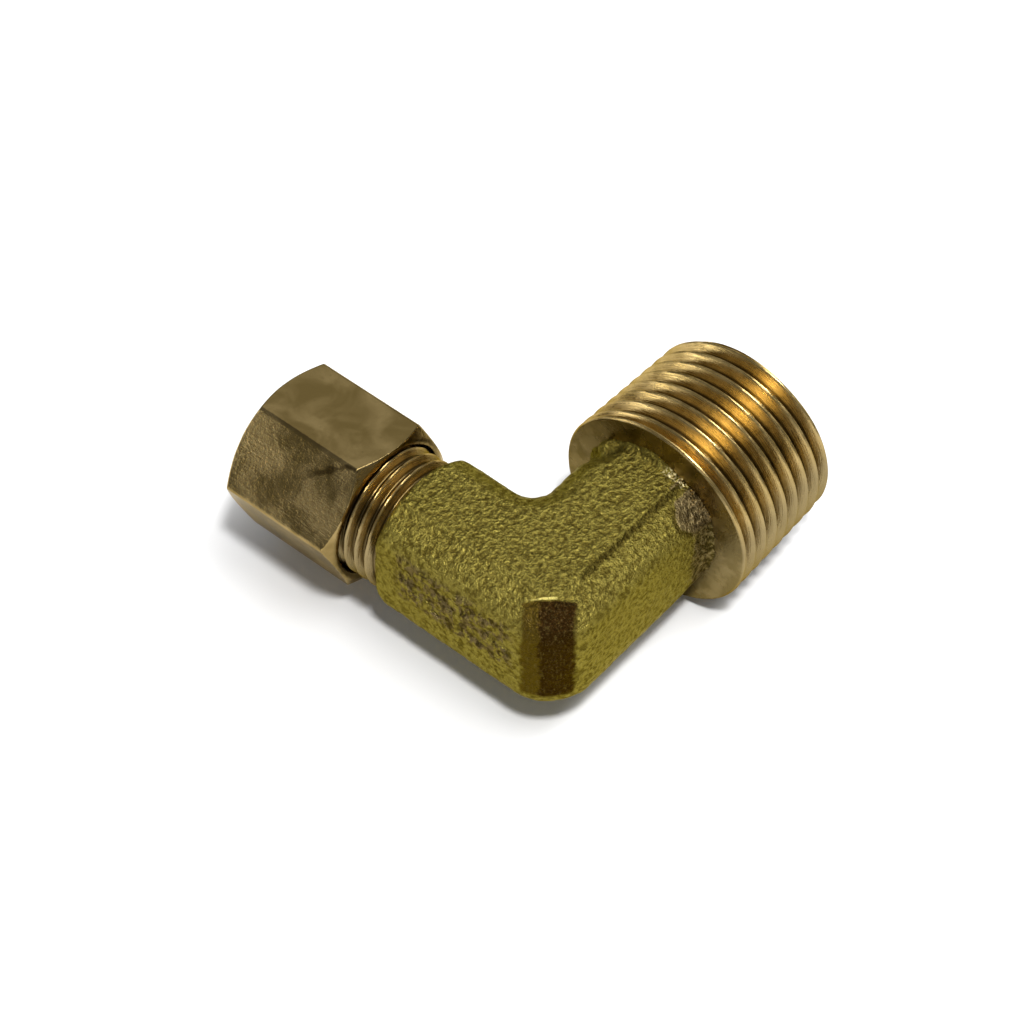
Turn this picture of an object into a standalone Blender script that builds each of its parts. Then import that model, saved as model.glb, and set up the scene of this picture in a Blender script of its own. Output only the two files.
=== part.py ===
"""Forged brass 90 degree male elbow for compression tube, with its sleeve and hex nut.

Three pieces, as the real fitting has: the elbow body (1/4 in tube port along +Y, 3/8-18
taper pipe thread along +X), the loose compression sleeve on the tube axis, and the long
hex nut part-screwed on the tube port.  Both port axes are level and +Z is up.
"""
import math

import bmesh
import bpy
from mathutils import Matrix

MM = 0.001

# Forged elbow, measured from the point where the two port axes cross
TUBE_ARM_HALF_WIDTH = 5.2 * MM
PIPE_ARM_HALF_WIDTH = 5.4 * MM
HALF_HEIGHT = 5.75 * MM
EDGE_RADIUS = 2.7 * MM
OUTER_CORNER_RADIUS = 4.5 * MM
INNER_CORNER_RADIUS = 1.5 * MM
TUBE_ARM_END = 12.7 * MM
NECK_START = 9.6 * MM
NECK_RADIUS = 5.2 * MM
NECK_FLARE_RADIUS = 6.9 * MM

# Tube port: 7/16-24 straight thread, 1/4 in tube socket with a seat for the sleeve.
# A thread's root or crest flat is given as a share of its pitch.
TUBE_THREAD_PITCH = 25.4 / 24 * MM
TUBE_THREAD_RADIUS = 5.555 * MM
TUBE_THREAD_DEPTH = 0.6134 * TUBE_THREAD_PITCH
TUBE_ROOT_FLAT = 1 / 8
SHARP_CREST = 0.108 * TUBE_THREAD_PITCH
TUBE_PORT_END = 20.6 * MM
SOCKET_RADIUS = 3.25 * MM
SOCKET_BOTTOM = 10.6 * MM
SEAT_MOUTH_RADIUS = 4.25 * MM
SEAT_SLOPE = 0.577
TUBE_BORE_RADIUS = 2.4 * MM

# Pipe port: 3/8-18 taper pipe thread behind a flat shoulder
PIPE_THREAD_PITCH = 25.4 / 18 * MM
PIPE_END_RADIUS = 8.48 * MM
PIPE_TAPER = 1 / 32
PIPE_THREAD_DEPTH = 0.8 * PIPE_THREAD_PITCH
PIPE_ROOT_FLAT = 1 / 12
SHOULDER = 13.3 * MM
PIPE_END = 25.2 * MM
PIPE_BORE_RADIUS = 4.0 * MM
PIPE_BORE_BOTTOM = -1.0 * MM
DRILL_TIP = 2.2 * MM
PLAIN_BAND = 0.7 * MM

# Nut: 1/2 in hex, tube hole at its outer end, thread from its inner end
NUT_INNER_END = 16.1 * MM
NUT_OUTER_END = 27.1 * MM
NUT_FLATS = 12.6 * MM
NUT_TURN = math.radians(-22)
NUT_INNER_FACE_RADIUS = 6.75 * MM
NUT_OUTER_FACE_RADIUS = 6.5 * MM
NUT_CHAMFER_ANGLE = math.radians(30)
NUT_THREAD_CREST = 5.72 * MM
NUT_THREAD_ROOT = 5.95 * MM
NUT_THREAD_END = 24.6 * MM
NUT_THREAD_FLAT = 1 / 4
NUT_SHOULDER_RADIUS = 4.4 * MM
NUT_SHOULDER_START = 25.6 * MM
NUT_SHOULDER_END = 26.6 * MM
NUT_TUBE_HOLE_RADIUS = 3.28 * MM

# Sleeve: plain ring with a chamfer at each end
SLEEVE_START = 20.75 * MM
SLEEVE_END = 26.15 * MM
SLEEVE_RADIUS = 3.95 * MM
SLEEVE_TIP_RADIUS = 3.45 * MM
SLEEVE_BORE_RADIUS = 3.2 * MM
SLEEVE_CHAMFER = 0.85 * MM

CHAMFER = 0.45 * MM
OVERRUN = 2 * MM
TURNED_STEPS = 40
TUBE_THREAD_STEPS = 32
CREST_MARGIN = 0.05 * MM
SHARP_ANGLE = math.radians(32)

# The world origin is under the middle of the whole fitting, on the surface it rests on
NUT_REACH = NUT_FLATS / math.sqrt(3) * math.cos(math.radians(30) + NUT_TURN)
SHOULDER_RADIUS = PIPE_END_RADIUS + (PIPE_END - SHOULDER) * PIPE_TAPER
CENTRE = (
    (NUT_REACH - PIPE_END) / 2,
    (SHOULDER_RADIUS - NUT_OUTER_END) / 2,
    SHOULDER_RADIUS,
)
TO_TUBE_AXIS = (-math.pi / 2, 0, 0)
TO_PIPE_AXIS = (0, math.pi / 2, 0)


def make_collection(name):
    collection = bpy.data.collections.new(name)
    bpy.context.scene.collection.children.link(collection)
    return collection


def make_material(name, colour, roughness):
    material = bpy.data.materials.new(name)
    material.use_nodes = True
    shader = material.node_tree.nodes["Principled BSDF"]
    shader.inputs["Base Color"].default_value = (*colour, 1)
    shader.inputs["Metallic"].default_value = 1
    shader.inputs["Roughness"].default_value = roughness
    return material


def add_object(name, mesh, collection, rotation=(0, 0, 0)):
    thing = bpy.data.objects.new(name, mesh)
    thing.location = CENTRE
    thing.rotation_euler = rotation
    collection.objects.link(thing)
    return thing


def mesh_from(name, bm):
    bmesh.ops.recalc_face_normals(bm, faces=bm.faces)
    mesh = bpy.data.meshes.new(name)
    bm.to_mesh(mesh)
    bm.free()
    return mesh


def turned(name, profile, collection, rotation, steps=TURNED_STEPS):
    """Turn a profile of (radius, height) points, top to bottom, about the port axis."""
    bm = bmesh.new()
    points = [bm.verts.new((radius, 0, height)) for radius, height in profile]
    for first, second in zip(points, points[1:]):
        bm.edges.new((first, second))
    if profile[0][0] > 0:
        bm.edges.new((points[-1], points[0]))
    mesh = bpy.data.meshes.new(name)
    bm.to_mesh(mesh)
    bm.free()
    thing = add_object(name, mesh, collection, rotation)
    screw = thing.modifiers.new("turn", "SCREW")
    screw.steps = steps
    screw.render_steps = steps
    screw.use_merge_vertices = True
    screw.merge_threshold = 0.00001
    return thing


def tool(thing):
    """Mark a solid that only shapes another one."""
    thing.hide_render = True
    thing.display_type = "WIRE"
    return thing


def combine(thing, other, operation):
    modifier = thing.modifiers.new(other.name, "BOOLEAN")
    modifier.operation = operation
    modifier.solver = "EXACT"
    modifier.object = other


def finish(thing, material):
    thing.data.materials.append(material)
    thing.data.shade_smooth()
    thing.data.set_sharp_from_angle(angle=SHARP_ANGLE)


def arc(centre, radius, start, end, steps):
    """Points on an arc in the plan, angles in degrees."""
    angles = [math.radians(start + (end - start) * i / steps) for i in range(steps + 1)]
    return [(centre[0] + radius * math.cos(a), centre[1] + radius * math.sin(a)) for a in angles]


def thread_rod(name, pitch, start, end, root_at, crest, root_flat, collection, rotation, steps):
    """Long helical rod: a grid rolled up so that each row climbs one pitch per turn."""
    phases = (-root_flat / 2, root_flat / 2, 0.5)
    turns = math.ceil((end - start) / pitch)
    rows = turns * len(phases)
    bm = bmesh.new()
    bmesh.ops.create_grid(bm, x_segments=steps, y_segments=rows, size=0.5)
    for vert in bm.verts:
        column = round((vert.co.x + 0.5) * steps)
        turn, phase = divmod(round((vert.co.y + 0.5) * rows), len(phases))
        height = start + pitch * (turn + phases[phase] + column / steps)
        radius = crest if phases[phase] == 0.5 else root_at(height)
        angle = 2 * math.pi * column / steps
        vert.co = (radius * math.cos(angle), radius * math.sin(angle), height)
    bmesh.ops.remove_doubles(bm, verts=bm.verts, dist=0.000002)
    rims = [edge for edge in bm.edges if edge.is_boundary]
    caps = bmesh.ops.holes_fill(bm, edges=rims, sides=0)["faces"]
    for vert in bmesh.ops.poke(bm, faces=caps)["verts"]:
        vert.co.x = 0
        vert.co.y = 0
    return tool(add_object(name, mesh_from(name, bm), collection, rotation))


def forged_block():
    """L-shaped forging: plan outline pulled to full height, long edges rounded."""
    tube_half, pipe_half = TUBE_ARM_HALF_WIDTH, PIPE_ARM_HALF_WIDTH
    arm_reach = SHOULDER + OVERRUN / 2
    inner = (tube_half + INNER_CORNER_RADIUS, pipe_half + INNER_CORNER_RADIUS)
    outer = (OUTER_CORNER_RADIUS - tube_half, OUTER_CORNER_RADIUS - pipe_half)
    outline = arc(outer, OUTER_CORNER_RADIUS, 180, 270, 8)
    outline += [(arm_reach, -pipe_half), (arm_reach, pipe_half)]
    outline += arc(inner, INNER_CORNER_RADIUS, 270, 180, 5)
    outline += [(tube_half, TUBE_ARM_END), (-tube_half, TUBE_ARM_END)]
    bm = bmesh.new()
    base = bm.faces.new([bm.verts.new((x, y, -HALF_HEIGHT)) for x, y in outline])
    pulled = bmesh.ops.extrude_face_region(bm, geom=[base])["geom"]
    top = [item for item in pulled if isinstance(item, bmesh.types.BMVert)]
    bmesh.ops.translate(bm, verts=top, vec=(0, 0, 2 * HALF_HEIGHT))
    long_edges = []
    for edge in bm.edges:
        low, high = (vert.co for vert in edge.verts)
        level = abs(low.z - high.z) < CHAMFER
        across_tube = min(low.y, high.y) > TUBE_ARM_END - CHAMFER
        across_pipe = min(low.x, high.x) > arm_reach - CHAMFER
        if level and not across_tube and not across_pipe:
            long_edges.append(edge)
    bmesh.ops.bevel(
        bm, geom=long_edges, offset=EDGE_RADIUS, segments=4, profile=0.5, affect="EDGES"
    )
    return mesh_from("forged_block", bm)


def tube_port(tools):
    """Straight threaded end that carries the nut."""
    blank = turned("tube_port_blank", [
        (0, TUBE_PORT_END),
        (TUBE_THREAD_RADIUS - CHAMFER, TUBE_PORT_END),
        (TUBE_THREAD_RADIUS, TUBE_PORT_END - CHAMFER),
        (TUBE_THREAD_RADIUS, TUBE_ARM_END + CHAMFER),
        (TUBE_THREAD_RADIUS - 2 * CHAMFER, TUBE_ARM_END - CHAMFER),
        (TUBE_THREAD_RADIUS - 2 * CHAMFER, TUBE_ARM_END - OVERRUN),
        (0, TUBE_ARM_END - OVERRUN),
    ], tools, TO_TUBE_AXIS, TUBE_THREAD_STEPS)
    root = TUBE_THREAD_RADIUS - TUBE_THREAD_DEPTH
    rod = thread_rod(
        "tube_thread", TUBE_THREAD_PITCH, TUBE_ARM_END - 2 * OVERRUN,
        TUBE_PORT_END + OVERRUN, lambda height: root,
        TUBE_THREAD_RADIUS + SHARP_CREST, TUBE_ROOT_FLAT,
        tools, TO_TUBE_AXIS, TUBE_THREAD_STEPS,
    )
    combine(blank, rod, "INTERSECT")
    return tool(blank)


def pipe_port(tools):
    """Tapered threaded end with its flat shoulder and flared neck."""
    blank = turned("pipe_port_blank", [
        (0, PIPE_END),
        (PIPE_END_RADIUS - 2 * CHAMFER, PIPE_END),
        (PIPE_END_RADIUS, PIPE_END - 2 * CHAMFER),
        (SHOULDER_RADIUS, SHOULDER + CHAMFER),
        (SHOULDER_RADIUS - CHAMFER, SHOULDER),
        (0, SHOULDER),
    ], tools, TO_PIPE_AXIS)

    def root_at(height):
        crest = PIPE_END_RADIUS + (PIPE_END - height) * PIPE_TAPER
        run_out = min(max((height - SHOULDER - PLAIN_BAND) / PIPE_THREAD_PITCH, 0), 1)
        return crest + CREST_MARGIN - (PIPE_THREAD_DEPTH + CREST_MARGIN) * run_out

    rod = thread_rod(
        "pipe_thread", PIPE_THREAD_PITCH, SHOULDER - 2 * OVERRUN, PIPE_END + OVERRUN,
        root_at, SHOULDER_RADIUS + 4 * CREST_MARGIN, PIPE_ROOT_FLAT,
        tools, TO_PIPE_AXIS, TURNED_STEPS,
    )
    combine(blank, rod, "INTERSECT")
    return tool(blank)


def flared_neck(tools):
    """Round flare where the pipe arm grows into the shoulder."""
    length = SHOULDER - NECK_START
    rise = NECK_FLARE_RADIUS - NECK_RADIUS
    profile = [(0, SHOULDER + OVERRUN / 4), (NECK_FLARE_RADIUS, SHOULDER + OVERRUN / 4)]
    for i in range(6):
        angle = math.radians(90 * i / 5)
        profile.append((
            NECK_FLARE_RADIUS - rise * math.sin(angle),
            SHOULDER - length * (1 - math.cos(angle)),
        ))
    profile.append((0, NECK_START))
    return tool(turned("flared_neck", profile, tools, TO_PIPE_AXIS))


def tube_bore(tools):
    """Through bore, tube socket with its stop, and the sleeve's seat."""
    seat_depth = (SEAT_MOUTH_RADIUS - SOCKET_RADIUS) / SEAT_SLOPE
    mouth = SEAT_MOUTH_RADIUS + SEAT_SLOPE * OVERRUN
    return tool(turned("tube_bore", [
        (0, TUBE_PORT_END + OVERRUN),
        (mouth, TUBE_PORT_END + OVERRUN),
        (SOCKET_RADIUS, TUBE_PORT_END - seat_depth),
        (SOCKET_RADIUS, SOCKET_BOTTOM),
        (TUBE_BORE_RADIUS, SOCKET_BOTTOM),
        (TUBE_BORE_RADIUS, 0),
        (0, -DRILL_TIP / 2),
    ], tools, TO_TUBE_AXIS))


def pipe_bore(tools):
    """Bore drilled from the pipe end past the tube axis, with its drill tip."""
    return tool(turned("pipe_bore", [
        (0, PIPE_END + OVERRUN),
        (PIPE_BORE_RADIUS + CHAMFER + OVERRUN, PIPE_END + OVERRUN),
        (PIPE_BORE_RADIUS, PIPE_END - CHAMFER),
        (PIPE_BORE_RADIUS, PIPE_BORE_BOTTOM),
        (0, PIPE_BORE_BOTTOM - DRILL_TIP),
    ], tools, TO_PIPE_AXIS))


def elbow_body(parts, tools, material):
    body = add_object("elbow_body", forged_block(), parts)
    for piece in (flared_neck(tools), pipe_port(tools), tube_port(tools)):
        combine(body, piece, "UNION")
    for piece in (pipe_bore(tools), tube_bore(tools)):
        combine(body, piece, "DIFFERENCE")
    finish(body, material)


def sleeve(parts, material):
    ring = turned("sleeve", [
        (SLEEVE_BORE_RADIUS, SLEEVE_END),
        (SLEEVE_TIP_RADIUS, SLEEVE_END),
        (SLEEVE_RADIUS, SLEEVE_END - SLEEVE_CHAMFER),
        (SLEEVE_RADIUS, SLEEVE_START + SLEEVE_CHAMFER),
        (SLEEVE_TIP_RADIUS, SLEEVE_START),
        (SLEEVE_BORE_RADIUS, SLEEVE_START),
    ], parts, TO_TUBE_AXIS)
    finish(ring, material)


def nut(parts, tools, material):
    """Hex bar, corners chamfered by turning both ends, then bored and tapped."""
    bm = bmesh.new()
    corner_radius = NUT_FLATS / math.sqrt(3)
    length = NUT_OUTER_END - NUT_INNER_END
    bmesh.ops.create_cone(
        bm, cap_ends=True, segments=6, radius1=corner_radius, radius2=corner_radius, depth=length
    )
    bmesh.ops.rotate(bm, verts=bm.verts, matrix=Matrix.Rotation(NUT_TURN, 3, "Z"))
    bmesh.ops.translate(bm, verts=bm.verts, vec=(0, 0, NUT_INNER_END + length / 2))
    hexagon = add_object("nut", mesh_from("nut", bm), parts, TO_TUBE_AXIS)
    combine(hexagon, nut_chamfers(tools, corner_radius), "INTERSECT")
    combine(hexagon, nut_bore(tools), "DIFFERENCE")
    combine(hexagon, nut_thread(tools), "DIFFERENCE")
    finish(hexagon, material)


def nut_chamfers(tools, corner_radius):
    reach = corner_radius + OVERRUN
    slope = math.tan(NUT_CHAMFER_ANGLE)
    return tool(turned("nut_chamfers", [
        (0, NUT_OUTER_END + OVERRUN),
        (NUT_OUTER_FACE_RADIUS, NUT_OUTER_END + OVERRUN),
        (NUT_OUTER_FACE_RADIUS, NUT_OUTER_END),
        (reach, NUT_OUTER_END - (reach - NUT_OUTER_FACE_RADIUS) * slope),
        (reach, NUT_INNER_END + (reach - NUT_INNER_FACE_RADIUS) * slope),
        (NUT_INNER_FACE_RADIUS, NUT_INNER_END),
        (NUT_INNER_FACE_RADIUS, NUT_INNER_END - OVERRUN),
        (0, NUT_INNER_END - OVERRUN),
    ], tools, TO_TUBE_AXIS))


def nut_bore(tools):
    """Tube hole, the shoulder that pushes the sleeve, and the bore that is tapped."""
    return tool(turned("nut_bore", [
        (0, NUT_OUTER_END + OVERRUN),
        (NUT_TUBE_HOLE_RADIUS, NUT_OUTER_END + OVERRUN),
        (NUT_TUBE_HOLE_RADIUS, NUT_SHOULDER_END),
        (NUT_SHOULDER_RADIUS, NUT_SHOULDER_START),
        (NUT_THREAD_CREST, NUT_SHOULDER_START),
        (NUT_THREAD_CREST, NUT_INNER_END + CHAMFER),
        (NUT_THREAD_CREST + CHAMFER + OVERRUN, NUT_INNER_END - OVERRUN),
        (0, NUT_INNER_END - OVERRUN),
    ], tools, TO_TUBE_AXIS))


def nut_thread(tools):
    """Tap for the nut's thread, opened up so that the facets of the two threads run clear."""
    root = NUT_THREAD_CREST - 4 * CREST_MARGIN
    return thread_rod(
        "nut_thread", TUBE_THREAD_PITCH, NUT_INNER_END - OVERRUN,
        NUT_THREAD_END - TUBE_THREAD_PITCH, lambda height: root, NUT_THREAD_ROOT,
        NUT_THREAD_FLAT, tools, TO_TUBE_AXIS, TUBE_THREAD_STEPS,
    )


def main():
    for thing in list(bpy.data.objects):
        bpy.data.objects.remove(thing, do_unlink=True)
    parts = make_collection("compression_fitting")
    tools = make_collection("shaping_tools")
    elbow_body(parts, tools, make_material("forged_brass", (0.32, 0.25, 0.09), 0.45))
    sleeve(parts, make_material("sleeve_brass", (0.60, 0.42, 0.18), 0.25))
    nut(parts, tools, make_material("nut_brass", (0.45, 0.33, 0.16), 0.28))


main()
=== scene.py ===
"""Forged brass male elbow with its compression nut and sleeve, dressed for rendering.

Lengths in the modelling code are millimetres, measured from the point where the axes of the
tube port (+Y) and the pipe port (+X) cross; to_world() turns them into metres in the CAD frame.
"""

import math

import bpy
import numpy as np
from mathutils import Matrix, Vector


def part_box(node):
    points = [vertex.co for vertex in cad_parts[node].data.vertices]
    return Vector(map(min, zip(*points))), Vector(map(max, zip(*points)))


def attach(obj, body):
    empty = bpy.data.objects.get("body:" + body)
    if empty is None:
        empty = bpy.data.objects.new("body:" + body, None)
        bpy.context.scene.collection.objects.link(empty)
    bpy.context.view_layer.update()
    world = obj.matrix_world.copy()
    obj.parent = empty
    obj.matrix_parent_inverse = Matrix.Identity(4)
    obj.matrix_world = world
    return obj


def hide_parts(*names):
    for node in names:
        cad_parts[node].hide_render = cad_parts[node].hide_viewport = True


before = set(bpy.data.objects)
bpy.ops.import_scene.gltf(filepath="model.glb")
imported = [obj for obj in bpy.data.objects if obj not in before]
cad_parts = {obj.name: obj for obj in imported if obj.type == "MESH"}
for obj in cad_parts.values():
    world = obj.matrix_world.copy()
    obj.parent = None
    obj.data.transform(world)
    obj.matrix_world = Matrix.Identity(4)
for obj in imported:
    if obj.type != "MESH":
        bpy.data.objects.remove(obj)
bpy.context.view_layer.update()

MM = 0.001

# Elbow body, as in the CAD model
TUBE_HALF, PIPE_HALF, HALF_HEIGHT = 5.2, 5.4, 5.75
OUTER_RADIUS, INNER_RADIUS = 4.5, 1.5
TUBE_ARM_END, TUBE_PORT_END = 12.7, 20.6
SHOULDER, PIPE_END = 13.3, 25.2
NECK_RADIUS, FLARE_RADIUS = 5.2, 6.9
SOCKET_RADIUS, SOCKET_BOTTOM, TUBE_BORE = 3.25, 10.6, 2.4
SEAT_DEPTH, SEAT_MOUTH = 1.73, 1.0
PIPE_BORE, PIPE_BORE_BOTTOM, DRILL_TIP = 4.0, -1.0, 2.2
PIPE_END_RADIUS, PIPE_TAPER = 8.48, 1 / 32
SHOULDER_RADIUS = PIPE_END_RADIUS + (PIPE_END - SHOULDER) * PIPE_TAPER
PIPE_PITCH, TUBE_PITCH = 25.4 / 18, 25.4 / 24
TUBE_THREAD_RADIUS = 5.555
PIPE_CHAMFER, PIPE_BORE_CHAMFER, TUBE_CHAMFER = 0.60, 0.42, 0.5

# Nut and sleeve
NUT_START, NUT_END, NUT_FLATS, NUT_CORNER = 15.9, 27.1, 12.6, math.radians(-8)
NUT_INNER_FACE, NUT_OUTER_FACE = 6.2, 6.15
NUT_CREST, NUT_ROOT, NUT_THREAD_END = 5.72, 5.95, 24.6
NUT_HOLE, NUT_CONE, NUT_CONE_START, NUT_CONE_END = 3.28, 4.4, 25.6, 26.6
SLEEVE_START, SLEEVE_END, SLEEVE_RADIUS, SLEEVE_TIP, SLEEVE_BORE = 20.75, 26.15, 3.95, 3.45, 3.2
SLEEVE_CHAMFER = 0.85

# The pipe port reaches into the forging, its bore there a little wider than the forging's own
PORT_OVERLAP, PIPE_CORE, BORE_GAP = 0.6, 5.0, 0.06

low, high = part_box("elbow_body")
CENTRE = Vector((high.x - PIPE_END * MM, high.y - TUBE_PORT_END * MM, (low.z + high.z) / 2))


def to_world(points):
    return np.asarray(points, float) * MM + np.array(CENTRE)


def mesh_object(name, points, quads, sharp=math.radians(40)):
    """A smooth-shaded object from points in millimetres and quads of point numbers."""
    mesh = bpy.data.meshes.new(name)
    mesh.from_pydata(to_world(points).tolist(), [], np.asarray(quads).tolist())
    mesh.validate()
    mesh.shade_smooth()
    mesh.set_sharp_from_angle(angle=sharp)
    thing = bpy.data.objects.new(name, mesh)
    bpy.context.scene.collection.objects.link(thing)
    return thing


def smoothstep(low_edge, high_edge, value):
    t = np.clip((value - low_edge) / (high_edge - low_edge), 0, 1)
    return t * t * (3 - 2 * t)


def soft_min(first, second, width):
    """The smaller of two values, blended where they are closer than the width."""
    blend = np.clip(0.5 + (second - first) / (2 * width), 0, 1)
    return second * (1 - blend) + first * blend - width * blend * (1 - blend)


# ---------------------------------------------------------------- turned pieces

ARC_STEPS = 3
CORNER_POINTS = ARC_STEPS + 1
ARCS_PER_SIDE = 2.2


def revolved(rows, axis):
    """Closed ring of quads from rows of (radius round the turn, height), one row after another."""
    columns = len(rows[0][0])
    turn = np.arange(columns) * 2 * math.pi / columns
    points = []
    for radius, height in rows:
        across = np.asarray(radius) * np.cos(turn)
        up = np.asarray(radius) * np.sin(turn)
        along = np.broadcast_to(height, turn.shape)
        if axis == "x":
            points.append(np.stack([along, across, up], 1))
        else:
            points.append(np.stack([up, along, across], 1))
    count = len(rows)
    row, column = np.meshgrid(np.arange(count), np.arange(columns), indexing="ij")
    after, beside = (row + 1) % count, (column + 1) % columns
    corners = [(row, column), (row, beside), (after, beside), (after, column)]
    quads = np.stack([(r * columns + c).ravel() for r, c in corners], 1)
    return np.concatenate(points), quads


def softened(profile, radius):
    """Round each corner of a closed loop of (radius, height) points into CORNER_POINTS points."""
    count = len(profile)
    out = []
    for index in range(count):
        before, here, after = (np.array(profile[(index + k) % count], float) for k in (-1, 0, 1))
        to_before, to_after = before - here, after - here
        back = min(radius, np.linalg.norm(to_before) / ARCS_PER_SIDE)
        ahead = min(radius, np.linalg.norm(to_after) / ARCS_PER_SIDE)
        first = here + to_before / np.linalg.norm(to_before) * back
        last = here + to_after / np.linalg.norm(to_after) * ahead
        for step in range(CORNER_POINTS):
            t = step / ARC_STEPS
            out.append(tuple((1 - t) ** 2 * first + 2 * t * (1 - t) * here + t * t * last))
    return out


def thread_shape(pitch, depth, crest_flat, rounding):
    """Depth below the crest over one pitch, with rounded crest and root: a lookup function."""
    samples = 512
    offset = np.abs((np.arange(samples) / samples + 0.5) % 1 - 0.5) * pitch
    cut = np.clip((offset - crest_flat / 2) * math.tan(math.radians(60)), 0, depth)
    frequency = np.fft.rfftfreq(samples, pitch / samples)
    blur = np.exp(-2 * (math.pi * frequency * rounding) ** 2)
    cut = np.fft.irfft(np.fft.rfft(cut) * blur, samples)
    cut -= cut.min()
    return lambda phase: np.interp(phase % 1, np.arange(samples + 1) / samples, np.append(cut, cut[0]))


def plain(profile, columns):
    """Round rows from (radius, height) points."""
    return [(np.full(columns, radius), height) for radius, height in profile]


def pipe_port():
    """Shoulder ring, taper thread and bored end of the pipe arm, turned about X."""
    columns, rows_per_turn = 320, 18
    turn = np.arange(columns) / columns
    cut = thread_shape(PIPE_PITCH, 1.08, 0.14, 0.065)
    inner_end = SHOULDER - PORT_OVERLAP
    shoulder_ring = softened([
        (PIPE_BORE + BORE_GAP, inner_end), (PIPE_CORE, inner_end),
        (PIPE_CORE, SHOULDER), (SHOULDER_RADIUS - 0.20, SHOULDER),
        (SHOULDER_RADIUS - 0.03, SHOULDER + 0.15), (SHOULDER_RADIUS - 0.02, SHOULDER + 0.26),
    ], 0.04)[CORNER_POINTS:]
    rows = plain(shoulder_ring, columns)
    for height in np.arange(SHOULDER + 0.30, PIPE_END - 0.12, PIPE_PITCH / rows_per_turn):
        crest = PIPE_END_RADIUS + (PIPE_END - height) * PIPE_TAPER
        depth = cut(height / PIPE_PITCH - turn)
        depth = depth * smoothstep(SHOULDER + 0.22, SHOULDER + 0.60, height)
        bevel = PIPE_END_RADIUS - PIPE_CHAMFER + (PIPE_END - height)
        rows.append((np.minimum(crest - depth, bevel), height))
    groove = cut(PIPE_END / PIPE_PITCH - turn)
    for below, rounding in ((0.02, 0.02), (0.0, 0.08)):
        inset = np.maximum(PIPE_CHAMFER + rounding, groove + 0.04)
        rows.append((PIPE_END_RADIUS - inset, PIPE_END - below))
    mouth = softened([
        (PIPE_END_RADIUS - 1.3, PIPE_END), (PIPE_BORE + PIPE_BORE_CHAMFER, PIPE_END),
        (PIPE_BORE, PIPE_END - PIPE_BORE_CHAMFER), (PIPE_BORE, SHOULDER + 1),
    ], 0.07)[CORNER_POINTS:-CORNER_POINTS]
    rows += plain(mouth, columns)
    rows += plain([(PIPE_BORE, SHOULDER + 2), (PIPE_BORE + BORE_GAP, SHOULDER + 1)], columns)
    return revolved(rows, "x")


def tube_port():
    """Threaded end, tube socket and sleeve seat of the tube arm, turned about Y."""
    columns, rows_per_turn = 240, 16
    turn = np.arange(columns) / columns
    cut = thread_shape(TUBE_PITCH, 0.66, 0.10, 0.05)
    inner, inner_end = SOCKET_RADIUS + 0.05, TUBE_ARM_END - 0.8
    rows = plain([(inner, inner_end), (4.7, inner_end), (4.9, TUBE_ARM_END - 0.1)], columns)
    for height in np.arange(TUBE_ARM_END, TUBE_PORT_END - 0.06, TUBE_PITCH / rows_per_turn):
        depth = cut(height / TUBE_PITCH - turn)
        bevel = TUBE_THREAD_RADIUS - TUBE_CHAMFER + (TUBE_PORT_END - height)
        relief = 5.1 + 0.5 * smoothstep(TUBE_ARM_END, TUBE_ARM_END + 0.5, height)
        radius = np.minimum(np.minimum(TUBE_THREAD_RADIUS - depth, bevel), relief)
        rows.append((radius, height))
    mouth = softened([
        (TUBE_THREAD_RADIUS - TUBE_CHAMFER, TUBE_PORT_END), (SOCKET_RADIUS + SEAT_MOUTH, TUBE_PORT_END),
        (SOCKET_RADIUS, TUBE_PORT_END - SEAT_DEPTH), (SOCKET_RADIUS, TUBE_ARM_END + 1),
        (inner, TUBE_ARM_END),
    ], 0.06)[CORNER_POINTS:]
    return revolved(rows + plain(mouth, columns), "y")


def sleeve_ring():
    """Plain ring with a chamfer at each end, turned about Y."""
    profile = softened([
        (SLEEVE_BORE, SLEEVE_START), (SLEEVE_TIP, SLEEVE_START),
        (SLEEVE_RADIUS, SLEEVE_START + SLEEVE_CHAMFER), (SLEEVE_RADIUS, SLEEVE_END - SLEEVE_CHAMFER),
        (SLEEVE_TIP, SLEEVE_END), (SLEEVE_BORE, SLEEVE_END),
    ], 0.12)
    return revolved(plain(profile, 160), "y")


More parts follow.
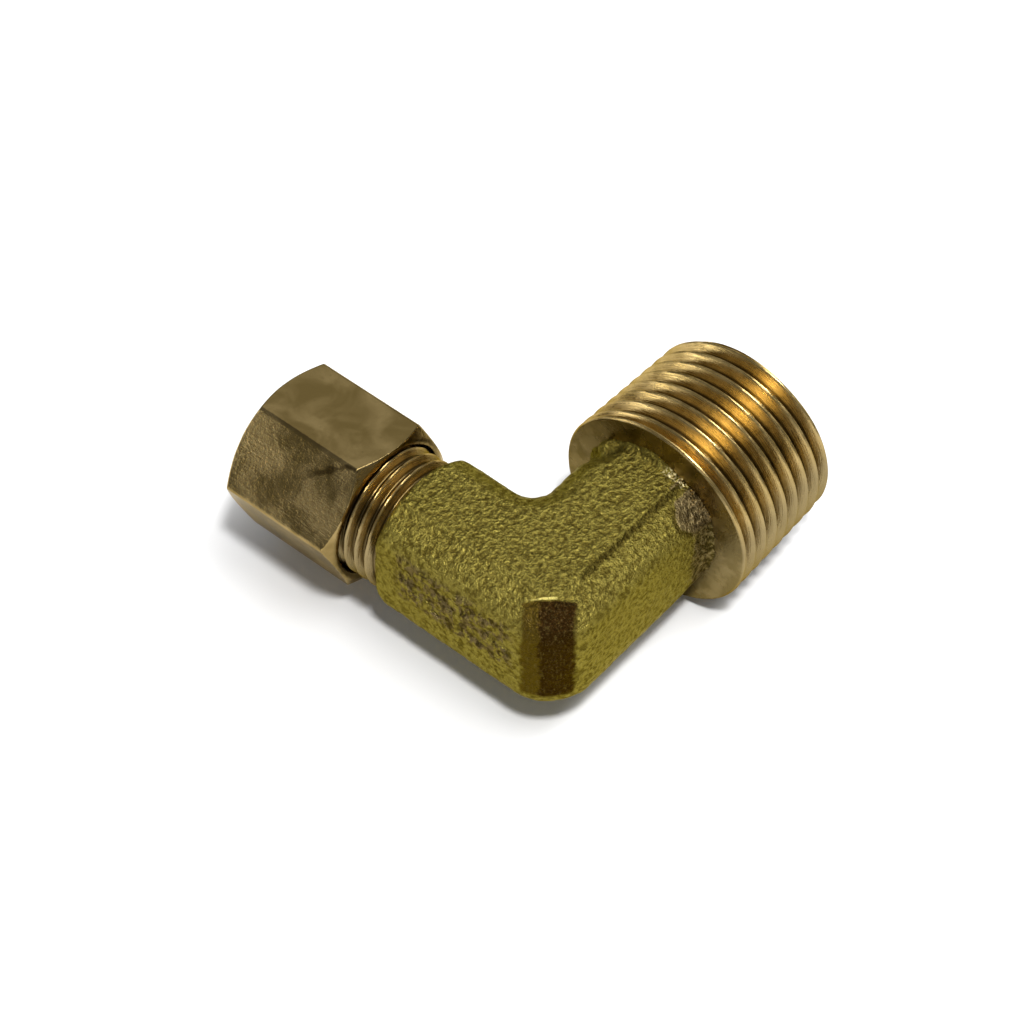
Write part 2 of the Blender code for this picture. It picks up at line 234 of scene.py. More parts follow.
def hex_nut():
    """Hex with turned corner chamfers, tapped from its inner end, with the tube hole."""
    columns, rows_per_turn = 360, 12
    worn, rounding = 0.05, 0.07
    turn = np.arange(columns) * 2 * math.pi / columns
    from_flat = ((math.pi / 2 - turn - NUT_CORNER) % (math.pi / 3)) - math.pi / 6
    flat = NUT_FLATS / 2 / np.cos(from_flat)
    hexagon = soft_min(flat, np.full(columns, NUT_FLATS / math.sqrt(3) - worn), worn)
    inner_face, outer_face = np.minimum(hexagon, NUT_INNER_FACE), np.minimum(hexagon, NUT_OUTER_FACE)
    rows = plain([(NUT_CREST + 0.10, NUT_START + 0.04), (NUT_CREST + 0.15, NUT_START)], columns)
    rows += [(inner_face - 0.16, NUT_START), (inner_face - rounding, NUT_START + 0.015)]
    chamfer_slope = 1 / math.tan(math.radians(30))
    heights = np.concatenate([
        np.arange(NUT_START + 0.06, NUT_START + 1.0, 0.05),
        np.arange(NUT_START + 1.0, NUT_END - 1.1, 0.35),
        np.arange(NUT_END - 1.1, NUT_END - 0.06, 0.05),
    ])
    for height in heights:
        first = NUT_INNER_FACE + (height - NUT_START) * chamfer_slope
        last = NUT_OUTER_FACE + (NUT_END - height) * chamfer_slope
        rows.append((soft_min(soft_min(hexagon, first, rounding), last, rounding), height))
    rows += [(outer_face - rounding, NUT_END - 0.015), (outer_face - 0.16, NUT_END)]
    rows += plain([
        (NUT_HOLE + 0.3, NUT_END), (NUT_HOLE + 0.22, NUT_END - 0.02), (NUT_HOLE + 0.03, NUT_END - 0.2),
        (NUT_HOLE, NUT_END - 0.26), (NUT_HOLE, NUT_CONE_END + 0.05), (NUT_HOLE + 0.06, NUT_CONE_END - 0.05),
        (NUT_CONE, NUT_CONE_START + 0.05), (NUT_CONE + 0.06, NUT_CONE_START), (NUT_CREST, NUT_CONE_START),
        (NUT_CREST, NUT_THREAD_END + 0.2),
    ], columns)
    cut = thread_shape(TUBE_PITCH, NUT_ROOT - NUT_CREST, 0.5, 0.05)
    for height in np.arange(NUT_THREAD_END, NUT_START + 0.5, -TUBE_PITCH / rows_per_turn):
        groove = cut(height / TUBE_PITCH - turn / (2 * math.pi))
        rows.append((NUT_CREST + groove, height))
    return revolved(rows, "y")


# ---------------------------------------------------------------- forged elbow

STEP = 0.13
BREAK_INSET = 2.95
NECK_CUT, NECK_CUT_RISE, NECK_CUT_START, NECK_CUT_END = 6.3, 0.75, 8.6, 11.4
FLARE_START, FLARE_DROP = 10.9, 0.65
STUB, STUB_RADIUS = (12.7, 4.2, 4.6), 0.85
FACED_RADIUS, FACED_SLOPE = 5.85, 1.2
PATCH_ALONG, PATCH_HEIGHT = 4.8, 1.2
CORNER_TURN = math.radians(49.868)  # of the outer corner's face, from the pipe port's side
NOISE_CELLS = 32
TABLE_STEP, TABLE_LOW, TABLE_HIGH = 0.05, -6, 9
FAR = 9  # a distance that no surface comes near


def inset_distance(x, y):
    """How far a point in the plan lies inside the elbow's outer edge, and inside its inner edge."""
    cx, cy = OUTER_RADIUS - TUBE_HALF, OUTER_RADIUS - PIPE_HALF
    straight = np.where(x < cx, x + TUBE_HALF, np.where(y < cy, y + PIPE_HALF,
                        np.minimum(x + TUBE_HALF, y + PIPE_HALF)))
    rounded = OUTER_RADIUS - np.hypot(x - cx, y - cy)
    outer = np.where((x < cx) & (y < cy), rounded, straight)
    ix, iy = TUBE_HALF + INNER_RADIUS, PIPE_HALF + INNER_RADIUS
    corner = np.hypot(x - ix, y - iy) - INNER_RADIUS
    beyond = np.where(x >= ix, np.where(y >= iy, -np.minimum(y - PIPE_HALF, x - TUBE_HALF), PIPE_HALF - y),
                      TUBE_HALF - x)
    inner = np.where((x < ix) & (y < iy), corner, beyond)
    return outer, inner


def edge_curve(ends):
    """Cubic curve through the rolled edge of an arm, as points of (inset, height)."""
    ends = np.array(ends)
    t = np.linspace(0, 1, 24)[:, None]
    return ((1 - t) ** 3 * ends[0] + 3 * t * (1 - t) ** 2 * ends[1]
            + 3 * t * t * (1 - t) * ends[2] + t ** 3 * ends[3])


# Half sections of an arm: flat top, edge (a crisp break outside, a soft one inside), steep wall
FLAT_TOP, MID_WALL = (9.0, HALF_HEIGHT + 0.04), (0.0, 0.0)
OUTER_EDGE = np.concatenate([
    [FLAT_TOP, (BREAK_INSET, HALF_HEIGHT)],
    edge_curve([(2.60, 5.40), (1.7, 5.22), (0.2, 4.98), (0.06, 2.9)]), [MID_WALL]])
INNER_EDGE = np.concatenate([
    [FLAT_TOP], edge_curve([(2.4, HALF_HEIGHT), (1.2, 5.45), (0.12, 4.85), (0.06, 2.9)]), [MID_WALL]])


def section_distance(inset, height, curve):
    """Signed distance to the arm's section, from a table over (inset, height)."""
    grid_inset = np.arange(TABLE_LOW, TABLE_HIGH, TABLE_STEP)
    grid_height = np.arange(0, TABLE_HIGH, TABLE_STEP)
    a, b = np.meshgrid(grid_inset, grid_height, indexing="ij")
    nearest = np.full(a.shape, 1e9)
    for first, last in zip(curve[:-1], curve[1:]):
        along = last - first
        t = ((a - first[0]) * along[0] + (b - first[1]) * along[1]) / (along @ along)
        t = np.clip(t, 0, 1)
        nearest = np.minimum(nearest, np.hypot(a - first[0] - t * along[0], b - first[1] - t * along[1]))
    order = np.argsort(curve[:, 0])
    top = np.interp(grid_inset, curve[order, 0], curve[order, 1])
    inside = (grid_inset[:, None] > 0) & (b < top[:, None])
    table = np.where(inside, -nearest, nearest)
    i = np.clip((inset - TABLE_LOW) / TABLE_STEP, 0, len(grid_inset) - 1.001)
    j = np.clip(height / TABLE_STEP, 0, len(grid_height) - 1.001)
    i0, j0 = i.astype(int), j.astype(int)
    fi, fj = i - i0, j - j0
    return (table[i0, j0] * (1 - fi) * (1 - fj) + table[i0 + 1, j0] * fi * (1 - fj)
            + table[i0, j0 + 1] * (1 - fi) * fj + table[i0 + 1, j0 + 1] * fi * fj)


def value_noise(x, y, z, size, seed):
    """Smooth random field in about -1..1 with features of the given size."""
    random = np.random.default_rng(seed).uniform(-1, 1, (NOISE_CELLS, NOISE_CELLS, NOISE_CELLS))
    total = 0
    x, y, z = (v / size + 2 * NOISE_CELLS for v in (x, y, z))
    x0, y0, z0 = (np.floor(v).astype(int) for v in (x, y, z))
    fx, fy, fz = (v - v0 for v, v0 in ((x, x0), (y, y0), (z, z0)))
    fx, fy, fz = (f * f * (3 - 2 * f) for f in (fx, fy, fz))
    for i in (0, 1):
        for j in (0, 1):
            for k in (0, 1):
                weight = (fx if i else 1 - fx) * (fy if j else 1 - fy) * (fz if k else 1 - fz)
                place = tuple((v0 + step) % NOISE_CELLS for v0, step in ((x0, i), (y0, j), (z0, k)))
                total = total + weight * random[place]
    return total


def surface_nets(values, corner, step):
    """Quads where a field on a grid changes sign, one point in each cell that it crosses."""
    cells = tuple(n - 1 for n in values.shape)
    total, count = np.zeros((*cells, 3)), np.zeros(cells)
    crossings = []
    for axis in range(3):
        near = np.take(values, range(cells[axis]), axis)
        far = np.take(values, range(1, cells[axis] + 1), axis)
        crosses = (near < 0) != (far < 0)
        share = np.where(crosses, near / np.where(crosses, near - far, 1), 0)
        crossings.append((crosses, near < 0))
        u, v = (k for k in range(3) if k != axis)
        index = np.indices(crosses.shape).astype(float)
        index[axis] += share
        for du in (0, 1):
            for dv in (0, 1):
                window = [slice(None)] * 3
                window[u] = slice(du, cells[u] + du)
                window[v] = slice(dv, cells[v] + dv)
                window = tuple(window)
                count += crosses[window]
                for k in range(3):
                    total[..., k] += np.where(crosses[window], index[k][window], 0)
    used = count > 0
    number = np.full(cells, -1)
    number[used] = np.arange(used.sum())
    points = total[used] / count[used][:, None] * step + corner
    quads = []
    for axis, (crosses, near_inside) in enumerate(crossings):
        u, v = (axis + 1) % 3, (axis + 2) % 3
        places = np.argwhere(crosses)
        keep = ((places[:, u] > 0) & (places[:, v] > 0)
                & (places[:, u] < cells[u]) & (places[:, v] < cells[v]))
        places = places[keep]
        facing = near_inside[tuple(places.T)]
        ring = []
        for du, dv in ((-1, -1), (0, -1), (0, 0), (-1, 0)):
            cell = places.copy()
            cell[:, u] += du
            cell[:, v] += dv
            ring.append(number[tuple(cell.T)])
        ring = np.stack(ring, 1)
        ring[~facing] = ring[~facing][:, ::-1]
        quads.append(ring)
    return points, np.concatenate(quads)


def forged_arms(x, y, z, skin):
    """Both arms with their rolled edges, rough skin and the rubbed patch on the tube arm."""
    patch = smoothstep(-4.2, -4.7, x) * smoothstep(6.0, 5.0, np.abs(y - PATCH_ALONG))
    patch = patch * smoothstep(2.7, 2.0, np.abs(z - PATCH_HEIGHT))
    patch = patch * smoothstep(0.0, 0.25, value_noise(x, y, z, 0.75, 7))
    outer, inner = inset_distance(x, y)
    arms = np.maximum(section_distance(outer, np.abs(z), OUTER_EDGE),
                      section_distance(inner, np.abs(z), INNER_EDGE)) + skin - 0.16 * patch
    cut_share = np.clip((NECK_CUT_END - x) / (NECK_CUT_END - NECK_CUT_START), 0, 1)
    turned_neck = NECK_CUT + NECK_CUT_RISE * cut_share
    return np.maximum(arms, np.where(x > 7, np.hypot(y, z) - turned_neck, -FAR))


def pipe_collar(x, y, z):
    """Lumpy flare that carries the pipe arm's round neck into the shoulder."""
    share = np.clip((x - FLARE_START) / (SHOULDER - FLARE_START), 0, 1)
    flare_end = FLARE_RADIUS - FLARE_DROP * smoothstep(1.0, -2.0, y)
    flare = NECK_RADIUS + (flare_end - NECK_RADIUS) * (1 - np.sqrt(1 - share ** 2))
    lumps = 0.20 * value_noise(x, y, z, 0.9, 5)
    return np.maximum(np.hypot(y, z) - flare - lumps, FLARE_START - x)


def forged_elbow():
    """The forging: both arms, the flare into the pipe shoulder, and the bores through them."""
    corner = np.array([-TUBE_HALF - 0.5, -FLARE_RADIUS - 0.7, -FLARE_RADIUS - 0.5])
    reach = np.array([SHOULDER + 0.3, TUBE_ARM_END + 0.5, FLARE_RADIUS + 0.5])
    shape = np.ceil((reach - corner) / STEP).astype(int)
    x, y, z = (corner[k] + np.arange(shape[k]) * STEP for k in range(3))
    x, y, z = np.meshgrid(x, y, z, indexing="ij")
    from_pipe_axis, from_tube_axis = np.hypot(y, z), np.hypot(x, z)
    skin = (0.050 * value_noise(x, y, z, 2.6, 1) + 0.035 * value_noise(x, y, z, 0.55, 2)
            + 0.022 * value_noise(x, y, z, 0.33, 3))
    solid = soft_min(forged_arms(x, y, z, skin), pipe_collar(x, y, z), 0.45)
    stub = np.sqrt((x - STUB[0]) ** 2 + (y - STUB[1]) ** 2 + (z - STUB[2]) ** 2) - STUB_RADIUS
    solid = soft_min(solid, stub + 0.5 * skin, 0.3)
    faced = FACED_RADIUS + FACED_SLOPE * (TUBE_ARM_END - y)
    solid = -soft_min(-solid, np.where(y > 7, faced - from_tube_axis, FAR), 0.25)
    solid = np.maximum(solid, np.maximum(x - SHOULDER, y - TUBE_ARM_END))
    tip = PIPE_BORE_BOTTOM - DRILL_TIP
    drill = np.minimum(PIPE_BORE, (x - tip) * PIPE_BORE / DRILL_TIP)
    socket = np.where(y > SOCKET_BOTTOM, SOCKET_RADIUS, TUBE_BORE)
    solid = np.maximum(solid, np.minimum(drill - from_pipe_axis, x - tip))
    solid = np.maximum(solid, np.minimum(socket - from_tube_axis, y))
    return surface_nets(solid, corner, STEP)


# ---------------------------------------------------------------- materials

class Nodes:
    """Small helper that wires shader nodes. Masks are values of 0..1 that say where a colour goes."""

    def __init__(self, name):
        self.material = bpy.data.materials.new(name)
        self.material.use_nodes = True
        self.tree = self.material.node_tree
        self.shader = self.tree.nodes["Principled BSDF"]
        self.shader.inputs["Metallic"].default_value = 1.0
        place = self.add("ShaderNodeTexCoord").outputs["Object"]
        move = self.add("ShaderNodeVectorMath", operation="SUBTRACT")
        self.link(place, move.inputs[0])
        move.inputs[1].default_value = CENTRE
        scale = self.add("ShaderNodeVectorMath", operation="SCALE")
        self.link(move.outputs[0], scale.inputs[0])
        scale.inputs["Scale"].default_value = 1 / MM
        self.place = scale.outputs[0]

    def add(self, kind, **settings):
        node = self.tree.nodes.new(kind)
        for key, value in settings.items():
            setattr(node, key, value)
        return node

    def link(self, source, target):
        self.tree.links.new(source, target)

    def axes(self):
        """The place on the object, in millimetres from the crossing of the port axes."""
        node = self.add("ShaderNodeSeparateXYZ")
        self.link(self.place, node.inputs[0])
        return node.outputs

    def noise(self, scale, detail=2.0, stretch=None, roughness=0.5, distortion=0.0):
        node = self.add("ShaderNodeTexNoise")
        node.inputs["Scale"].default_value = scale
        node.inputs["Detail"].default_value = detail
        node.inputs["Roughness"].default_value = roughness
        node.inputs["Distortion"].default_value = distortion
        place = self.place
        if stretch:
            times = self.add("ShaderNodeVectorMath", operation="MULTIPLY")
            self.link(place, times.inputs[0])
            times.inputs[1].default_value = stretch
            place = times.outputs[0]
        self.link(place, node.inputs["Vector"])
        return node.outputs["Fac"]

    def math(self, operation, first, second=None):
        node = self.add("ShaderNodeMath", operation=operation)
        for index, value in enumerate((first, second)):
            if value is None:
                continue
            if isinstance(value, (int, float)):
                node.inputs[index].default_value = value
            else:
                self.link(value, node.inputs[index])
        return node.outputs[0]

    def times(self, first, *others):
        for other in others:
            first = self.math("MULTIPLY", first, other)
        return first

    def plus(self, first, *others):
        for other in others:
            first = self.math("ADD", first, other)
        return first

    def away_from(self, value, place):
        return self.math("ABSOLUTE", self.math("SUBTRACT", value, place))

    def radius(self, first, second):
        """Distance from an axis, from the two coordinates across it."""
        return self.math("SQRT", self.plus(self.times(first, first), self.times(second, second)))

    def between(self, value, low_edge, high_edge, to_low=0.0, to_high=1.0, kind="SMOOTHSTEP"):
        node = self.add("ShaderNodeMapRange")
        node.interpolation_type = kind
        self.link(value, node.inputs["Value"])
        for key, number in zip(("From Min", "From Max", "To Min", "To Max"),
                               (low_edge, high_edge, to_low, to_high)):
            node.inputs[key].default_value = number
        return node.outputs["Result"]

    def mix(self, share, first, second):
        node = self.add("ShaderNodeMix", data_type="RGBA")
        for socket, value in ((node.inputs[0], share), (node.inputs[6], first), (node.inputs[7], second)):
            if isinstance(value, tuple):
                socket.default_value = (*value, 1)
            elif isinstance(value, (int, float)):
                socket.default_value = value
            else:
                self.link(value, socket)
        return node.outputs[2]

    def bump(self, height, distance, strength=1.0, after=None):
        node = self.add("ShaderNodeBump")
        node.inputs["Strength"].default_value = strength
        node.inputs["Distance"].default_value = distance * MM
        self.link(height, node.inputs["Height"])
        if after:
            self.link(after, node.inputs["Normal"])
        return node.outputs["Normal"]

    def finish(self, colour, roughness, normal, edge_tint):
        self.shader.inputs["Specular Tint"].default_value = (*edge_tint, 1)
        self.link(colour, self.shader.inputs["Base Color"])
        self.link(roughness, self.shader.inputs["Roughness"])
        self.link(normal, self.shader.inputs["Normal"])
        return self.material


def rubbed_patch(n, colour, pits):
    """Brown rub marks on the tube arm's outer side."""
    x, y, z = n.axes()
    where = n.times(
        n.between(n.noise(1.3, 3.0, roughness=0.65), 0.47, 0.53), n.between(x, -4.3, -4.6),
        n.between(n.away_from(z, PATCH_HEIGHT), 2.8, 2.0), n.between(n.away_from(y, PATCH_ALONG), 6.2, 5.2))
    brown = n.mix(pits, (0.030, 0.020, 0.008), (0.130, 0.092, 0.048))
    return n.mix(n.times(where, 0.8), colour, brown)


def ledge_painted_reflection(n, colour, wander):
    """Painted dark reflection: a dark line along the break at the pipe arm's top edge."""
    x, y, z = n.axes()
    from_line = n.plus(n.away_from(y, -2.66), n.times(wander, 0.35))
    where = n.times(n.between(from_line, 0.34, 0.16), n.between(z, 5.0, 5.2), n.between(x, 0.4, 1.4))
    return n.mix(n.times(where, 0.7), colour, (0.040, 0.028, 0.005))


def turned_neck(n, colour, grain, wander):
    """Bare turned brass on the neck's cone, its dark rim, and the stain beside the shoulder."""
    x, y, z = n.axes()
    cone = n.between(x, NECK_CUT_START, NECK_CUT_END, NECK_CUT + NECK_CUT_RISE, NECK_CUT, "LINEAR")
    below_cone = n.math("SUBTRACT", n.radius(y, z), cone)
    outer_side = n.times(n.between(x, 8.5, 8.7), n.between(y, -1.5, -2.2))
    machined = n.times(n.between(below_cone, -0.10, -0.04), outer_side)
    colour = n.mix(n.times(machined, 0.85), colour, (0.215, 0.160, 0.075))
    rim = n.times(n.between(below_cone, -0.26, -0.14), n.between(below_cone, -0.04, -0.10),
                  outer_side, n.between(y, -3.2, -3.8))
    colour = n.mix(n.times(rim, 0.75), colour, (0.045, 0.030, 0.006))
    stain = n.times(n.between(n.plus(x, n.times(wander, 2.0)), 10.9, 11.7), n.between(y, -3.0, -3.8))
    speckled = n.mix(n.between(grain, 0.44, 0.54), (0.034, 0.023, 0.008), (0.200, 0.150, 0.072))
    return n.mix(n.times(stain, 0.75), colour, speckled)


def burr_painted_highlight(n, colour, fine):
    """Painted highlight: bright specks where the pipe arm's top edge meets the shoulder."""
    x, y, z = n.axes()
    where = n.times(n.between(x, 12.55, 12.8), n.between(n.plus(y, z), 5.4, 3.9),
                    n.between(fine, 0.50, 0.60), n.between(z, 5.3, 5.5))
    return n.mix(where, colour, (0.85, 0.74, 0.40))


def corner_painted_reflection(n, colour, fine, wander):
    """Painted dark reflection on the elbow's outer corner, with a painted highlight along its upper edge."""
    x, y, z = n.axes()
    cos, sin = math.cos(CORNER_TURN), math.sin(CORNER_TURN)
    along = n.math("SUBTRACT", n.times(x, cos), n.times(y, sin))
    toward = n.plus(n.times(x, sin), n.times(y, cos))
    edge_noise = n.times(wander, 0.9)
    band = n.between(n.plus(n.away_from(along, 0.15), edge_noise), 2.3, 1.8)
    where = n.times(band, n.between(toward, -2.9, -3.15), n.between(z, 5.66, 5.52), n.between(z, -3.5, -2.9))
    left_part = n.between(n.plus(along, wander), -0.35, -0.75)
    dark = n.mix(left_part, (0.022, 0.009, 0.002), (0.070, 0.045, 0.006))
    streaks = n.noise(1.0, 2.0, stretch=(5.0, 5.0, 1.2))
    dark = n.mix(n.between(fine, 0.52, 0.75, 0.0, 0.6), dark, (0.100, 0.065, 0.026))
    dark = n.mix(n.between(streaks, 0.56, 0.70, 0.0, 0.6), dark, (0.095, 0.068, 0.020))
    # Painted dark reflection on the corner.
    colour = n.mix(n.times(where, 0.97), colour, dark)
    # Painted highlight: a bright line along the corner's upper edge.
    short = n.between(n.math("ABSOLUTE", n.plus(along, 0.45, edge_noise)), 1.5, 1.2)
    rim = n.times(short, n.between(n.away_from(toward, -2.88), 0.11, 0.04), n.between(z, 5.2, 5.5))
    return n.mix(n.times(rim, 0.8), colour, (0.80, 0.68, 0.20))


def forged_material():
    """Shot-blasted brass: grainy all over, darker in the pits, with its marks, painted dark reflections and
    painted highlights at their places.
    """
    n = Nodes("forged_brass_skin")
    grain = n.noise(2.4, 3.0, roughness=0.62)
    fine = n.noise(6.5, 2.0, roughness=0.6)
    broad = n.noise(0.35, 2.0)
    wander = n.math("SUBTRACT", n.noise(1.4), 0.5)
    pits = n.between(grain, 0.36, 0.58)
    colour = n.mix(pits, (0.100, 0.075, 0.013), (0.245, 0.200, 0.042))
    colour = n.mix(n.between(broad, 0.35, 0.70, 0.0, 0.4), colour, (0.175, 0.138, 0.028))
    colour = rubbed_patch(n, colour, pits)
    # Painted dark reflection along the pipe arm's top edge.
    colour = ledge_painted_reflection(n, colour, wander)
    colour = turned_neck(n, colour, grain, wander)
    # Painted highlight specks where the top edge meets the shoulder.
    colour = burr_painted_highlight(n, colour, fine)
    # Painted dark reflection and painted highlight on the outer corner.
    colour = corner_painted_reflection(n, colour, fine, wander)
    rough = n.between(grain, 0.35, 0.65, 0.50, 0.33)
    normal = n.bump(n.plus(grain, n.times(fine, 0.35)), 0.34, 0.9)
    return n.finish(colour, rough, normal, (0.62, 0.56, 0.38))


def thread_painted_shade_and_mottling(n, colour, axis, cloud, start, end, crest_at_start, taper, root):
    """Painted shade darkening the lower half, painted shade in the thread's roots, and a mottled face before
    its start.
    """
    x, y, z = n.axes()
    along, across = (x, y) if axis == "x" else (y, x)
    # Painted shade: darker towards the bottom.
    colour = n.mix(n.between(z, 5.4, 1.2, 0.0, 0.75), colour, (0.205, 0.165, 0.090))
    crest_at_end = crest_at_start - taper * (end - start)
    crest = n.between(along, start, end, crest_at_start, crest_at_end, "LINEAR")
    depth = n.math("SUBTRACT", crest, n.radius(across, z))
    # Painted shade in the thread's roots.
    painted_root_shade = n.times(
        n.between(depth, 0.70 * root, 0.92 * root), n.between(depth, root + 0.4, root + 0.2),
        n.between(along, start, start + 0.2), n.between(along, end, end - 0.2))
    colour = n.mix(n.times(painted_root_shade, 0.85), colour, (0.055, 0.036, 0.012))
    face = n.between(along, start - 0.12, start - 0.18)
    mottled = n.mix(n.between(cloud, 0.4, 0.6), (0.15, 0.115, 0.050), (0.245, 0.190, 0.090))
    return n.mix(n.times(face, 0.7), colour, mottled)


def turned_material(name, axis, bright, deep, ring_depth, thread=None):
    """Machined brass with fine turning rings round an axis and a little staining.

    A thread is (start, end, crest radius at the start, taper, depth of its root).
    """
    n = Nodes(name)
    stretch = (26.0, 0.5, 0.5) if axis == "x" else (0.5, 26.0, 0.5)
    rings = n.noise(1.0, 2.0, stretch=stretch)
    cloud = n.noise(0.55, 3.0, roughness=0.6)
    marks = n.noise(3.5, 3.0, roughness=0.7)
    colour = n.mix(n.between(cloud, 0.35, 0.65), deep, bright)
    colour = n.mix(n.between(marks, 0.62, 0.80, 0.0, 0.35), colour, tuple(0.5 * c for c in deep))
    if thread:
        # Threads get painted shade on their lower half and in their roots.
        colour = thread_painted_shade_and_mottling(n, colour, axis, cloud, *thread)
    rough = n.between(n.plus(rings, n.times(cloud, 0.5)), 0.45, 1.0, 0.21, 0.33)
    normal = n.bump(rings, ring_depth, 0.8)
    normal = n.bump(marks, 0.02, 0.6, after=normal)
    return n.finish(colour, rough, normal, (0.42, 0.35, 0.22))


def nut_painted_reflection(n, colour):
    """Painted dark reflection on the nut's upper outer flat, slanting down from the corner near its inner
    end.
    """
    start, slope = 17.0, 0.77
    corner = -NUT_FLATS / math.sqrt(3) * math.sin(math.radians(30) + NUT_CORNER)
    flat_length_per_x = 1 / math.sin(math.radians(30) - NUT_CORNER)
    x, y, z = n.axes()
    down_flat = n.times(n.math("SUBTRACT", corner, x), flat_length_per_x)
    line = n.math("SUBTRACT", down_flat, n.times(n.math("SUBTRACT", y, start), slope))
    from_line = n.plus(n.math("ABSOLUTE", line), n.math("SUBTRACT", n.noise(1.2), 0.5))
    where = n.times(n.between(from_line, 0.55, 0.15), n.between(y, 21.6, 19.0),
                    n.between(x, -2.5, -2.8), n.between(z, 0.0, 1.0))
    return n.mix(n.times(where, 0.8), colour, (0.055, 0.034, 0.008))


def nut_material():
    """Drawn hex bar: faint lengthwise lines, cloudy tarnish, small handling dents, one painted dark
    reflection.
    """
    n = Nodes("drawn_hex_brass")
    lines = n.noise(1.0, 2.0, stretch=(9.0, 0.35, 9.0))
    cloud = n.noise(0.33, 3.0, roughness=0.55, distortion=0.6)
    marks = n.noise(2.2, 4.0, roughness=0.7)
    colour = n.mix(n.between(cloud, 0.30, 0.70), (0.215, 0.150, 0.050), (0.365, 0.265, 0.108))
    colour = n.mix(n.between(marks, 0.60, 0.76, 0.0, 0.5), colour, (0.14, 0.095, 0.030))
    # Painted dark reflection on the upper outer flat.
    colour = nut_painted_reflection(n, colour)
    rough = n.between(cloud, 0.3, 0.7, 0.17, 0.26)
    normal = n.bump(lines, 0.018, 0.6)
    normal = n.bump(marks, 0.05, 0.6, after=normal)
    return n.finish(colour, rough, normal, (0.80, 0.72, 0.55))


def floor_material():
    """Matt near-white."""
    n = Nodes("pale_floor")
    n.shader.inputs["Metallic"].default_value = 0.0
    colour = n.mix(n.noise(0.02, 2.0), (0.90, 0.90, 0.90), (0.93, 0.93, 0.93))
    n.link(colour, n.shader.inputs["Base Color"])
    n.shader.inputs["Roughness"].default_value = 0.75
    n.shader.inputs["Specular IOR Level"].default_value = 0.2
    return n.material


# ---------------------------------------------------------------- pieces on their bodies

def dress(thing, material, body, node):
    """Give a piece its material, and say which body it rides and which CAD node it replaces."""
    thing.data.materials.append(material)
    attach(thing, body)
    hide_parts(node)


THREAD_BRIGHT, THREAD_DEEP = (0.56, 0.405, 0.165), (0.44, 0.310, 0.112)
pipe_brass = turned_material("turned_brass_pipe_port", "x", THREAD_BRIGHT, THREAD_DEEP, 0.022,
                             (SHOULDER + 0.2, PIPE_END - 0.2, SHOULDER_RADIUS, PIPE_TAPER, 0.95))
tube_brass = turned_material("turned_brass_tube_port", "y", THREAD_BRIGHT, THREAD_DEEP, 0.018,
                             (TUBE_ARM_END + 0.2, TUBE_PORT_END - 0.2, TUBE_THREAD_RADIUS, 0.0, 0.62))
sleeve_brass = turned_material("turned_brass_sleeve", "y", (0.66, 0.47, 0.20), (0.52, 0.36, 0.14), 0.03)

forging = mesh_object("elbow_forging", *forged_elbow())
dress(forging, forged_material(), "fitting", "elbow_body")
dress(mesh_object("elbow_pipe_port", *pipe_port()), pipe_brass, "fitting", "elbow_body")
dress(mesh_object("elbow_tube_port", *tube_port()), tube_brass, "fitting", "elbow_body")
dress(mesh_object("compression_nut", *hex_nut()), nut_material(), "nut", "nut")
dress(mesh_object("compression_sleeve", *sleeve_ring()), sleeve_brass, "sleeve", "sleeve")


# ---------------------------------------------------------------- stage, light, camera

FLOOR_SIZE, FLOOR_CELLS = 1.6, 24
CAMERA_AZIMUTH, CAMERA_ELEVATION = math.radians(-49.866), math.radians(50.386)
CAMERA_RIGHT, CAMERA_UP, CAMERA_BACK = -2.542, 7.689, 235.4
SENSOR, FOCAL_LENGTH = 36, 108.8296875


def direction(azimuth, elevation):
    """Unit vector from the elbow, with the azimuth in degrees from +X toward +Y."""
    a, e = math.radians(azimuth), math.radians(elevation)
    return Vector((math.cos(a) * math.cos(e), math.sin(a) * math.cos(e), math.sin(e)))


def softbox(name, azimuth, elevation, distance, width, height, watts):
    """Rectangular light that faces the elbow, its sizes and distance in metres."""
    light = bpy.data.lights.new(name, "AREA")
    light.shape = "RECTANGLE"
    light.size = width
    light.size_y = height
    light.energy = watts
    lamp = bpy.data.objects.new(name, light)
    away = direction(azimuth, elevation)
    lamp.location = CENTRE + away * distance
    lamp.rotation_euler = away.to_track_quat("Z", "Y").to_euler()
    bpy.context.scene.collection.objects.link(lamp)


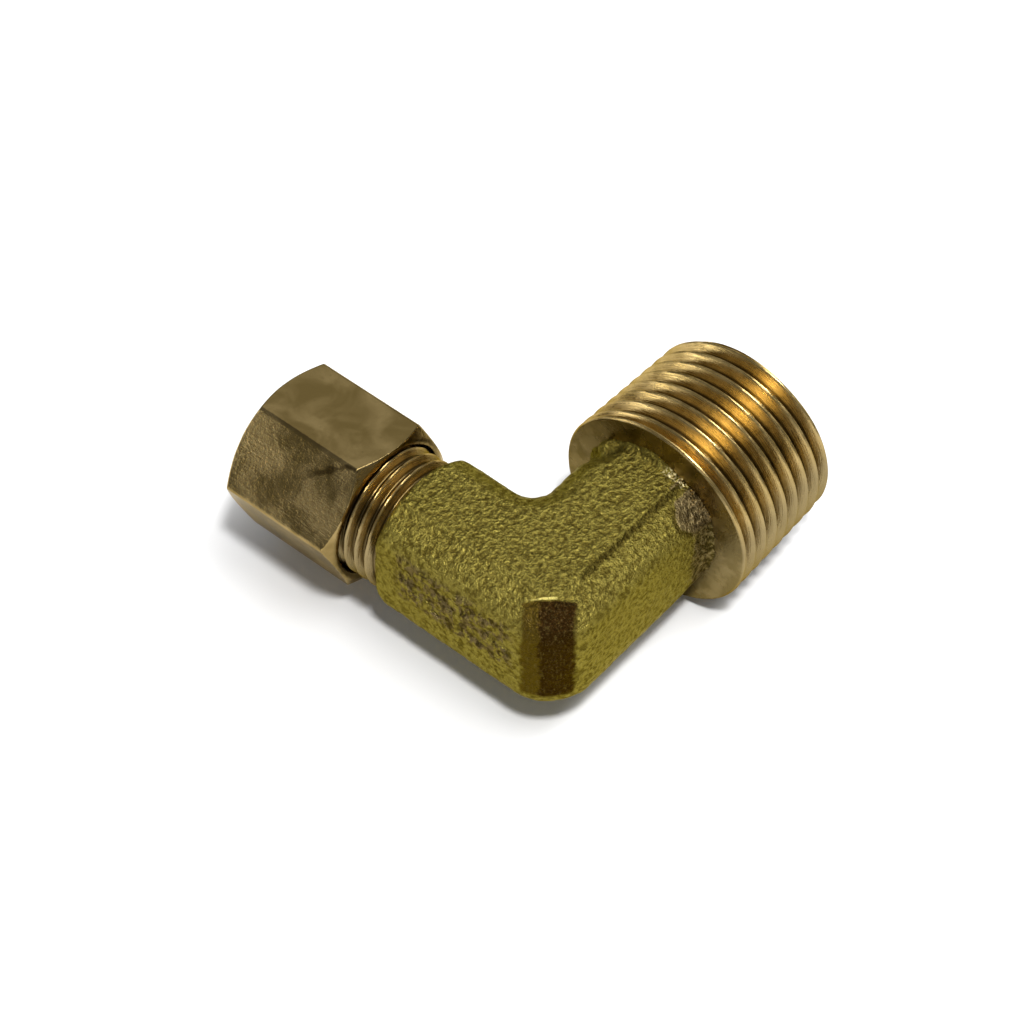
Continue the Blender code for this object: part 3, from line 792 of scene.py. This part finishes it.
def stage():
    """Pale floor and a weak even light from the world."""
    grid = bpy.data.meshes.new("floor")
    row = FLOOR_CELLS + 1
    ticks = np.linspace(-FLOOR_SIZE / 2, FLOOR_SIZE / 2, row)
    points = [(x, y, 0.0) for y in ticks for x in ticks]
    quads = [(j * row + i, j * row + i + 1, (j + 1) * row + i + 1, (j + 1) * row + i)
             for j in range(FLOOR_CELLS) for i in range(FLOOR_CELLS)]
    grid.from_pydata(points, [], quads)
    floor = bpy.data.objects.new("floor", grid)
    floor.data.materials.append(floor_material())
    bpy.context.scene.collection.objects.link(floor)
    world = bpy.data.worlds.new("studio")
    bpy.context.scene.world = world
    world.use_nodes = True
    shade = world.node_tree.nodes["Background"]
    shade.inputs["Color"].default_value = (0.95, 0.97, 1.0, 1)
    shade.inputs["Strength"].default_value = 0.20


def camera():
    """Looks down at the elbow from above its outer corner."""
    azimuth, elevation = CAMERA_AZIMUTH, CAMERA_ELEVATION
    right = Vector((math.cos(azimuth), math.sin(azimuth), 0))
    back = Vector((math.sin(azimuth) * math.cos(elevation),
                   -math.cos(azimuth) * math.cos(elevation), math.sin(elevation)))
    up = back.cross(right)
    data = bpy.data.cameras.new("camera")
    data.sensor_width = SENSOR
    data.lens = FOCAL_LENGTH
    data.clip_start = 0.01
    eye = bpy.data.objects.new("camera", data)
    turn = Matrix((right, up, back)).transposed().to_4x4()
    place = CENTRE + (CAMERA_RIGHT * right + CAMERA_UP * up + CAMERA_BACK * back) * MM
    eye.matrix_world = Matrix.Translation(place) @ turn
    bpy.context.scene.collection.objects.link(eye)
    bpy.context.scene.camera = eye


stage()
camera()
softbox("key", -126, 68, 0.55, 0.06, 0.06, 2.2)
softbox("overhead", -60, 74, 0.60, 0.34, 0.30, 2.0)
softbox("fill", 32, 40, 0.60, 0.60, 0.44, 0.36)
softbox("right", -30, 58, 0.50, 0.16, 0.12, 0.5)
softbox("back", 132, 4, 0.60, 0.20, 0.09, 0.38)
softbox("left", 178, 3, 0.60, 0.20, 0.05, 0.22)
bpy.context.scene.view_settings.view_transform = "Standard"
